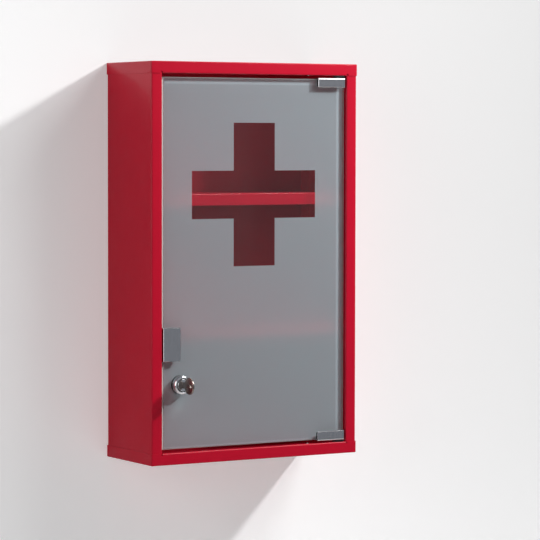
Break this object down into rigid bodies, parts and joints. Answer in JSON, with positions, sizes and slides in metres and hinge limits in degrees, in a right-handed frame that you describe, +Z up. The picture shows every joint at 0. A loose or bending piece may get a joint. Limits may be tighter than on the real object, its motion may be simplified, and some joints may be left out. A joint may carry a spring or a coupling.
{
  "type": "lockable medicine cabinet",
  "caption": "Wall-hung folded steel medicine cabinet with shelves and a frosted glass door with a clear cross window, pivot hinges, push latch and cam lock.",
  "frame": {"origin": "centre of the four wall holes, on the rear face of the back panel", "axes": "+Z up along the cabinet's height, +X to the right, the door faces -Y"},
  "size_m": [0.3, 0.1505, 0.5],
  "materials": {
    "powder_coat_red": "semi-gloss powder coat",
    "powder_coat_inside": "semi-gloss powder coat",
    "clear_glass": "polished float glass",
    "frosting": "matt frosting",
    "satin_steel": "satin nickel plate",
    "zinc_steel": "zinc plated",
    "bright_chrome": "polished chrome",
    "key_nickel": "nickel plated, lightly worn",
    "black_nylon": "moulded nylon",
    "white_plastic": "moulded acetal",
    "pad_rubber": "matt",
    "magnet": "nickel plated magnet"
  },
  "bodies": {
    "cabinet": {"top_cap": "powder_coat_red", "bottom_cap": "powder_coat_red", "side_left": "powder_coat_red", "side_right": "powder_coat_red", "back_panel": "powder_coat_inside", "shelf_upper": "powder_coat_red", "shelf_lower": "powder_coat_red", "shelf_cleats_upper": "powder_coat_inside", "shelf_cleats_lower": "powder_coat_inside", "pivot_plates": "powder_coat_inside", "pivot_rivets": "zinc_steel", "hinge_bush_top": "black_nylon", "hinge_bush_bottom": "black_nylon", "latch_bracket": "powder_coat_inside", "latch_housing": "white_plastic", "latch_screws": "zinc_steel"},
    "door": {"door_glass": "clear_glass", "frost_layer": "frosting", "hinge_clamp_top": "satin_steel", "hinge_clamp_bottom": "satin_steel", "hinge_pins": "zinc_steel", "hinge_pads_top": "pad_rubber", "hinge_pads_bottom": "pad_rubber", "hinge_screws": "zinc_steel", "catch_plate": "satin_steel", "catch_pads": "pad_rubber", "lock_body": "bright_chrome", "lock_gaskets": "pad_rubber", "lock_nut": "zinc_steel"},
    "plunger": {"latch_plunger": "white_plastic", "latch_magnet": "magnet"},
    "plug": {"lock_plug": "bright_chrome", "lock_cam": "zinc_steel", "cam_screw": "zinc_steel"},
    "key": {"key": "key_nickel"}
  },
  "joints": [
    {"name": "door_hinge", "type": "hinge", "parent": "cabinet", "child": "door", "pos_m": [0.125, -0.1142, 0], "axis": [0, 0, 1], "range_deg": [0, 110]},
    {"name": "lock_turn", "type": "hinge", "parent": "door", "child": "plug", "pos_m": [-0.1075, -0.1162, -0.1508], "axis": [0, 1, 0], "range_deg": [0, 90]},
    {"name": "key_slide", "type": "slide", "parent": "plug", "child": "key", "axis": [0, -1, 0], "range_m": [0, 0.03]},
    {"name": "latch_push", "type": "slide", "parent": "cabinet", "child": "plunger", "axis": [0, 1, 0], "range_m": [0, 0.0025], "stiffness_N_per_m": 200, "springref_m": -0.005}
  ]
}
